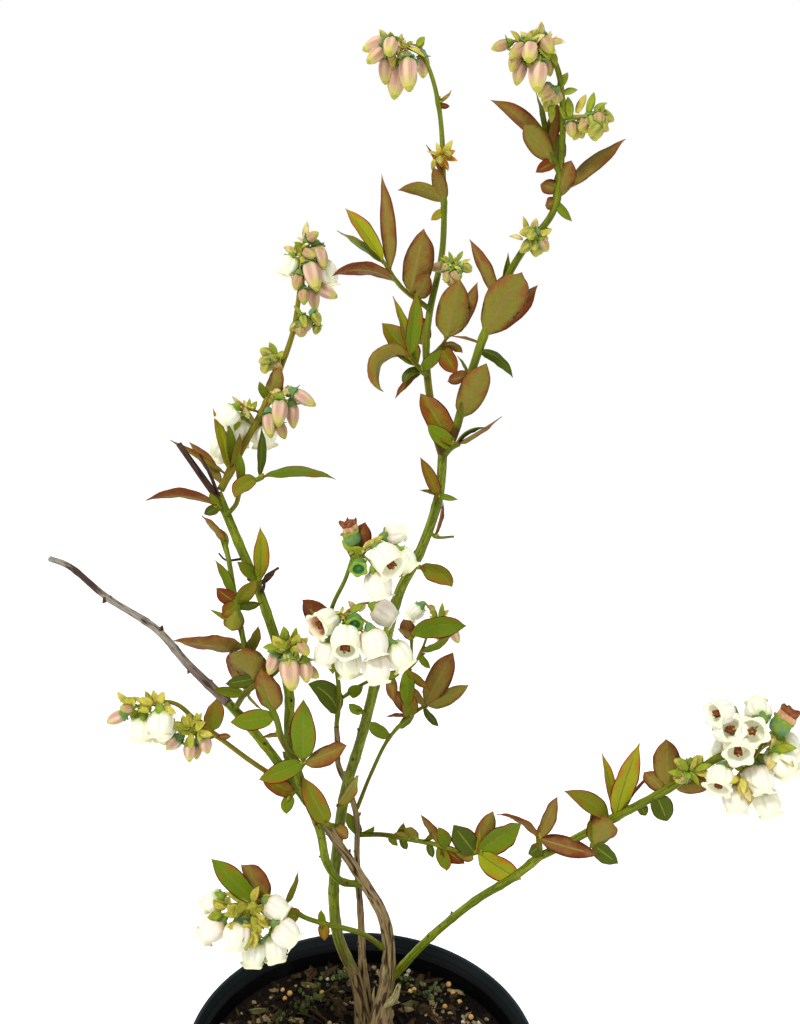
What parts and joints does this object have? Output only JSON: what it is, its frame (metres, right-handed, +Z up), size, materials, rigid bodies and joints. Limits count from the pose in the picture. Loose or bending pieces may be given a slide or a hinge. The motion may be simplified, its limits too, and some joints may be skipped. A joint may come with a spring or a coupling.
{
  "type": "potted blueberry bush",
  "caption": "Young blueberry bush in flower, with arching green canes, bronze-edged leaves and cream bell blossoms, in a round black nursery pot.",
  "frame": {"origin": "centre of the pot's flat underside", "axes": "+Z up; -Y is the bush's front, where its flowering twigs face; +X is the side of the long low cane"},
  "size_m": [0.3202, 0.16, 0.5967],
  "materials": {
    "pot": "satin black",
    "soil": "loose bark and peat",
    "old_wood": "peeling bark",
    "dead_wood": "dry bark",
    "green_bark": "smooth green bark",
    "foliage": "soft leaves and blossoms"
  },
  "bodies": {
    "root": {"pot": "pot", "soil": "soil", "trunk": "old_wood", "brown_stem": "old_wood", "low_left_bough": "green_bark", "left_cane": "green_bark", "main_cane": "green_bark", "right_cane": "green_bark", "dead_branch": "dead_wood", "top_left_shoot": "foliage", "top_right_shoot": "foliage", "left_shoot": "foliage", "centre_twig": "foliage", "back_twig": "foliage", "right_low_twig": "foliage", "right_cane_end": "foliage", "low_left_twig": "foliage", "far_left_twig": "foliage", "low_bough_spray": "foliage", "pink_twig": "foliage", "leafy_left_stem": "foliage", "left_cane_twig": "foliage", "left_cane_top_spray": "foliage", "left_cane_mid_spray": "foliage", "left_cane_low_spray": "foliage", "trunk_tip_spray": "foliage", "main_cane_top_spray": "foliage", "main_cane_twig": "foliage", "main_cane_leaf": "foliage", "main_cane_low_leaf": "foliage", "main_cane_foot_leaf": "foliage"}
  },
  "joints": []
}
